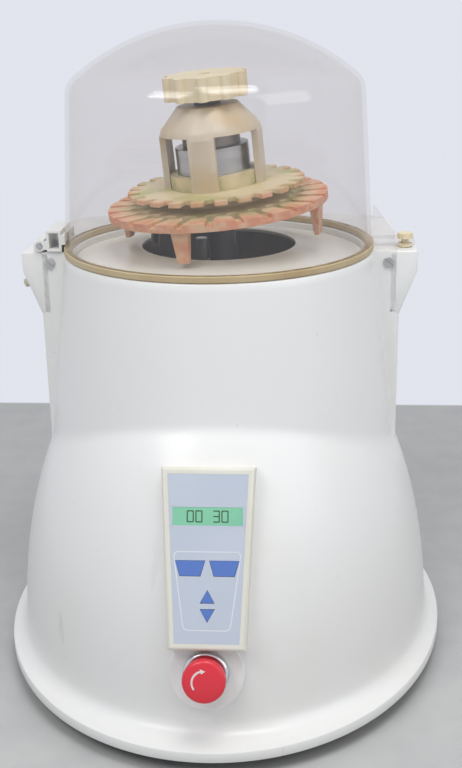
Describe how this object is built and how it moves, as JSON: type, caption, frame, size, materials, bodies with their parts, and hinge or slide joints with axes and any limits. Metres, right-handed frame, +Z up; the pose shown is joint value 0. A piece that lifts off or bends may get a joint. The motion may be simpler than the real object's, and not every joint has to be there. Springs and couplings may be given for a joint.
{
  "type": "bead mill homogenizer",
  "caption": "Bench bead mill with a wobbling tube rotor under a clear hinged dome, a tapered control box and a stop button on a moulded housing",
  "frame": {"origin": "centre of the base on the table, under the axis of the drive", "axes": "+Z up along the drive axis, -Y to the front with the control box, +X to the right seen from the front"},
  "size_m": [0.3849, 0.475, 0.532],
  "materials": {
    "housing_white": "glossy moulded plastic",
    "tray_white": "glossy moulded plastic",
    "steel_painted": "dark grey powder coat",
    "bare_steel": "turned steel",
    "aluminium": "machined aluminium",
    "black_steel": "black oxide",
    "rubber_black": "black rubber",
    "nylon_cream": "yellowed nylon",
    "plate_cream": "cream resin stained salmon at the rim",
    "bumper_cream": "cream rubber",
    "gasket_tan": "aged tan elastomer",
    "clear_plastic": "clear polycarbonate",
    "case_cream": "cream moulded plastic",
    "overlay_blue": "printed membrane",
    "display_green": "back-lit display",
    "key_blue": "printed membrane key",
    "stop_red": "glossy red plastic",
    "chrome": "bright metal",
    "plastic_black": "black moulded plastic",
    "board_green": "circuit board"
  },
  "bodies": {
    "base": {"housing": "housing_white", "base_pan": "steel_painted", "feet": "rubber_black", "tray": "tray_white", "well": "steel_painted", "deck_plate": "aluminium", "frame_posts": "bare_steel", "motor_body": "steel_painted", "spindle_housing": "black_steel", "spindle_bearings": "bare_steel", "guide_fork": "black_steel", "guide_post": "aluminium", "hinge_block": "housing_white", "hinge_pin": "bare_steel", "catch_keeper": "bare_steel", "ear_screws": "bare_steel", "lid_bumper": "bumper_cream", "control_case": "case_cream", "control_overlay": "overlay_blue", "display_window": "display_green", "stop_collar": "chrome", "stop_contact_block": "plastic_black", "service_panel": "steel_painted", "panel_screws": "bare_steel", "fan_frame": "plastic_black", "fan_guard": "chrome", "power_inlet": "plastic_black", "fuse_caps": "plastic_black", "rocker_frame": "plastic_black", "power_supply": "aluminium", "drive_board": "board_green"},
    "drive": {"motor_shaft": "bare_steel", "coupling": "aluminium", "swash_spindle": "black_steel", "counterweight": "bare_steel"},
    "rotor": {"hub_sleeve": "bare_steel", "hub_cap": "aluminium", "hub_bearings": "bare_steel", "clamp_stud": "bare_steel", "guide_pin": "bare_steel", "sample_plate": "plate_cream", "retainer_disc": "plate_cream", "clamp_cage": "plate_cream"},
    "washer": {"thrust_washer": "black_steel"},
    "knob": {"clamp_knob": "nylon_cream"},
    "lid": {"dome": "clear_plastic", "dome_gasket": "gasket_tan", "hinge_loop": "housing_white", "latch_tongue": "clear_plastic", "lid_gusset": "clear_plastic"},
    "catch": {"catch_knob": "nylon_cream"},
    "stop_stem": {"stop_stem": "bare_steel"},
    "stop_head": {"stop_head": "stop_red"},
    "rocker": {"rocker_switch": "plastic_black"},
    "fan": {"fan_rotor": "plastic_black"},
    "set_key": {"set_key": "key_blue"},
    "run_key": {"run_key": "key_blue"},
    "up_key": {"up_key": "key_blue"},
    "down_key": {"down_key": "key_blue"}
  },
  "joints": [
    {"name": "drive_spin", "type": "hinge", "parent": "base", "child": "drive", "pos_m": [0, 0, 0.388], "axis": [0, 0, 1], "continuous": true},
    {"name": "rotor_wobble", "type": "hinge", "parent": "drive", "child": "rotor", "pos_m": [0, 0, 0.388], "axis": [-0.0804, -0.0418, 0.9959], "continuous": true},
    {"name": "clamp_lift", "type": "slide", "parent": "rotor", "child": "washer", "axis": [-0.0804, -0.0418, 0.9959], "range_m": [0, 0.012]},
    {"name": "knob_turn", "type": "hinge", "parent": "washer", "child": "knob", "pos_m": [0, 0, 0.388], "axis": [-0.0804, -0.0418, 0.9959], "range_deg": [0, 1440]},
    {"name": "lid_open", "type": "hinge", "parent": "base", "child": "lid", "pos_m": [-0.148, 0, 0.3555], "axis": [0, -1, 0], "range_deg": [0, 105]},
    {"name": "catch_turn", "type": "hinge", "parent": "lid", "child": "catch", "pos_m": [0.1545, 0, 0.355], "axis": [0, 0, 1], "range_deg": [0, 90]},
    {"name": "stop_press", "type": "slide", "parent": "base", "child": "stop_stem", "axis": [0, 0.9659, -0.2588], "range_m": [0, 0.004], "stiffness_N_per_m": 900},
    {"name": "stop_twist", "type": "hinge", "parent": "stop_stem", "child": "stop_head", "pos_m": [0.001, -0.20899, 0.073], "axis": [0, 0.9659, -0.2588], "range_deg": [0, 45], "stiffness_Nm_per_rad": 0.05},
    {"name": "rocker_tilt", "type": "hinge", "parent": "base", "child": "rocker", "pos_m": [-0.082, 0.146, 0.268], "axis": [1, 0, 0], "range_deg": [0, 12]},
    {"name": "fan_spin", "type": "hinge", "parent": "base", "child": "fan", "pos_m": [0.048, 0.13, 0.288], "axis": [0, 1, 0], "continuous": true},
    {"name": "set_press", "type": "slide", "parent": "base", "child": "set_key", "axis": [0, 0.9272, -0.3746], "range_m": [0, 0.0004], "stiffness_N_per_m": 600},
    {"name": "run_press", "type": "slide", "parent": "base", "child": "run_key", "axis": [0, 0.9272, -0.3746], "range_m": [0, 0.0004], "stiffness_N_per_m": 600},
    {"name": "up_press", "type": "slide", "parent": "base", "child": "up_key", "axis": [0, 0.9272, -0.3746], "range_m": [0, 0.0004], "stiffness_N_per_m": 600},
    {"name": "down_press", "type": "slide", "parent": "base", "child": "down_key", "axis": [0, 0.9272, -0.3746], "range_m": [0, 0.0004], "stiffness_N_per_m": 600}
  ],
  "couplings": [
    {"joint": "rotor_wobble", "follows": "drive_spin", "ratio": -1},
    {"joint": "knob_turn", "follows": "clamp_lift", "rad_per_m": 2094.4}
  ]
}
